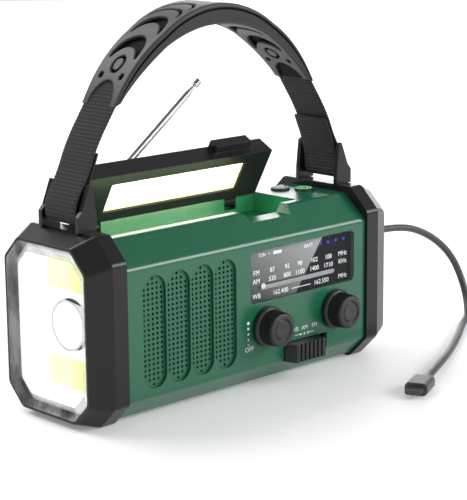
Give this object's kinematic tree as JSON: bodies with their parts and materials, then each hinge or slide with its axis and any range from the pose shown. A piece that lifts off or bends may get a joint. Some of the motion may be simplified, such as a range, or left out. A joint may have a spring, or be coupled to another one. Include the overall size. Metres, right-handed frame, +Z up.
{
  "type": "emergency radio",
  "caption": "Portable emergency radio with an end lamp, a lift-up lamp lid with solar panel, telescopic antenna, hand crank, webbing strap and a charging cable.",
  "frame": {"origin": "below the middle of the case, on the surface that it stands on", "axes": "+X from the lamp end to the socket end, +Y from the dial face to the back, +Z up"},
  "size_m": [0.2968, 0.1495, 0.1922],
  "materials": {
    "case_green": "satin gloss green",
    "bezel_black": "satin gloss black",
    "lens_clear": "clear lens",
    "reflector_silver": "bright metallised",
    "lamp_yellow": "pale yellow light panel",
    "board_green": "circuit board",
    "plastic_black": "moulded black",
    "socket_steel": "stamped steel",
    "rubber_black": "soft matt",
    "grille_green": "satin paint",
    "speaker_metal": "plain painted steel",
    "window_clear": "glossy clear plastic",
    "dial_black": "black print",
    "pointer_white": "white",
    "knob_black": "satin black",
    "shaft_steel": "turned steel",
    "button_black": "soft black",
    "cell_body": "wrapped cell",
    "screw_steel": "plated steel",
    "lid_black": "satin black",
    "diffuser_white": "milky white",
    "solar_glass": "dark cells under glass",
    "webbing_black": "ribbed woven",
    "rubber_grey": "soft satin grey",
    "antenna_chrome": "polished",
    "crank_black": "satin black",
    "cable_grey": "smooth dark grey",
    "plug_grey": "smooth dark grey"
  },
  "bodies": {
    "case": {"band_switch": "plastic_black", "battery_cells": "cell_body", "button_board": "board_green", "case_screws": "screw_steel", "charging_cable": "cable_grey", "dial_plate": "dial_black", "dial_window": "window_clear", "dynamo": "speaker_metal", "earphone_socket": "plastic_black", "front_shell": "case_green", "lamp_bezel": "bezel_black", "lamp_lens": "lens_clear", "lamp_panels": "lamp_yellow", "lamp_reflector": "reflector_silver", "lid_hinge_pins": "shaft_steel", "main_board": "board_green", "phone_connector": "plug_grey", "rear_shell": "case_green", "socket_bezel": "bezel_black", "socket_panel": "plastic_black", "speaker_driver": "speaker_metal", "speaker_grille": "grille_green", "spot_board": "board_green", "spot_cup": "reflector_silver", "spot_lens": "lens_clear", "strap_loop_left": "bezel_black", "strap_loop_right": "bezel_black", "tuning_capacitor": "plastic_black", "usb_a_socket": "socket_steel", "usb_c_socket": "socket_steel", "usb_plug": "plug_grey", "volume_control": "plastic_black"},
    "lamp_lid": {"lid_frame": "lid_black", "lid_diffuser": "diffuser_white", "lid_light_board": "board_green", "solar_panel": "solar_glass"},
    "handle": {"grip": "rubber_grey", "webbing_left": "webbing_black", "webbing_right": "webbing_black"},
    "antenna_base": {"antenna_swivel": "antenna_chrome", "antenna_pin": "screw_steel"},
    "antenna_rod": {"antenna_tube_1": "antenna_chrome"},
    "antenna_second": {"antenna_tube_2": "antenna_chrome"},
    "antenna_third": {"antenna_tube_3": "antenna_chrome"},
    "antenna_fourth": {"antenna_tube_4": "antenna_chrome", "antenna_tip": "antenna_chrome"},
    "crank": {"crank_arm": "crank_black", "crank_screw": "screw_steel", "crank_fold_pin": "screw_steel"},
    "crank_fold": {"crank_fold_block": "shaft_steel"},
    "crank_handle": {"crank_knob": "crank_black"},
    "volume": {"volume_knob": "knob_black", "volume_shaft": "shaft_steel"},
    "tuning": {"tuning_knob": "knob_black", "tuning_shaft": "shaft_steel"},
    "pointer": {"dial_pointer": "pointer_white"},
    "band": {"band_slider": "knob_black"},
    "power": {"power_button": "button_black"},
    "lamp_switch": {"lamp_button": "button_black"},
    "cover": {"socket_cover": "rubber_black"}
  },
  "joints": [
    {"name": "lamp_lid_hinge", "type": "hinge", "parent": "case", "child": "lamp_lid", "pos_m": [0, 0.0203, 0.0851], "axis": [1, 0, 0], "range_deg": [-28.5, 61.5]},
    {"name": "handle_fold", "type": "hinge", "parent": "case", "child": "handle", "pos_m": [0, 0, 0.115], "axis": [1, 0, 0], "range_deg": [-35, 60], "deforming": ["webbing_left", "webbing_right"]},
    {"name": "antenna_turn", "type": "hinge", "parent": "case", "child": "antenna_base", "pos_m": [-0.0575, 0.031, 0.086], "axis": [0, 0, 1], "range_deg": [0, 180]},
    {"name": "antenna_tilt", "type": "hinge", "parent": "antenna_base", "child": "antenna_rod", "pos_m": [-0.0575, 0.031, 0.086], "axis": [0, -1, 0], "range_deg": [-37, 53]},
    {"name": "antenna_extend", "type": "slide", "parent": "antenna_rod", "child": "antenna_second", "axis": [0.7986, 0, 0.6018], "range_m": [0, 0.078]},
    {"name": "antenna_extend_third", "type": "slide", "parent": "antenna_second", "child": "antenna_third", "axis": [0.7986, 0, 0.6018], "range_m": [0, 0.078]},
    {"name": "antenna_extend_fourth", "type": "slide", "parent": "antenna_third", "child": "antenna_fourth", "axis": [0.7986, 0, 0.6018], "range_m": [0, 0.078]},
    {"name": "crank_turn", "type": "hinge", "parent": "case", "child": "crank", "pos_m": [0, 0.0358, 0.047], "axis": [0, 1, 0], "continuous": true},
    {"name": "crank_knob_fold", "type": "hinge", "parent": "crank", "child": "crank_fold", "pos_m": [-0.0365, 0.0414, 0.047], "axis": [0, 0, 1], "range_deg": [0, 90]},
    {"name": "crank_knob_spin", "type": "hinge", "parent": "crank_fold", "child": "crank_handle", "pos_m": [-0.0235, 0.0414, 0.047], "axis": [1, 0, 0], "continuous": true},
    {"name": "volume_turn", "type": "hinge", "parent": "case", "child": "volume", "pos_m": [0.0096, -0.035, 0.0324], "axis": [0, 1, 0], "range_deg": [0, 300]},
    {"name": "tuning_turn", "type": "hinge", "parent": "case", "child": "tuning", "pos_m": [0.059, -0.035, 0.0324], "axis": [0, 1, 0], "range_deg": [0, 300]},
    {"name": "pointer_slide", "type": "slide", "parent": "case", "child": "pointer", "axis": [1, 0, 0], "range_m": [0, 0.046]},
    {"name": "band_slide", "type": "slide", "parent": "case", "child": "band", "axis": [1, 0, 0], "range_m": [0, 0.005]},
    {"name": "power_press", "type": "slide", "parent": "case", "child": "power", "axis": [0, 0, -1], "range_m": [0, 0.001], "stiffness_N_per_m": 400, "springref_m": -0.0005},
    {"name": "lamp_press", "type": "slide", "parent": "case", "child": "lamp_switch", "axis": [0, 0, -1], "range_m": [0, 0.001], "stiffness_N_per_m": 400, "springref_m": -0.0005},
    {"name": "socket_cover_hinge", "type": "hinge", "parent": "case", "child": "cover", "pos_m": [0.10105, 0.002, 0.022], "axis": [0, 1, 0], "range_deg": [0, 120]}
  ],
  "couplings": [
    {"joint": "antenna_extend_third", "follows": "antenna_extend", "ratio": 1},
    {"joint": "antenna_extend_fourth", "follows": "antenna_extend", "ratio": 1},
    {"joint": "pointer_slide", "follows": "tuning_turn", "m_per_rad": 0.008785}
  ]
}
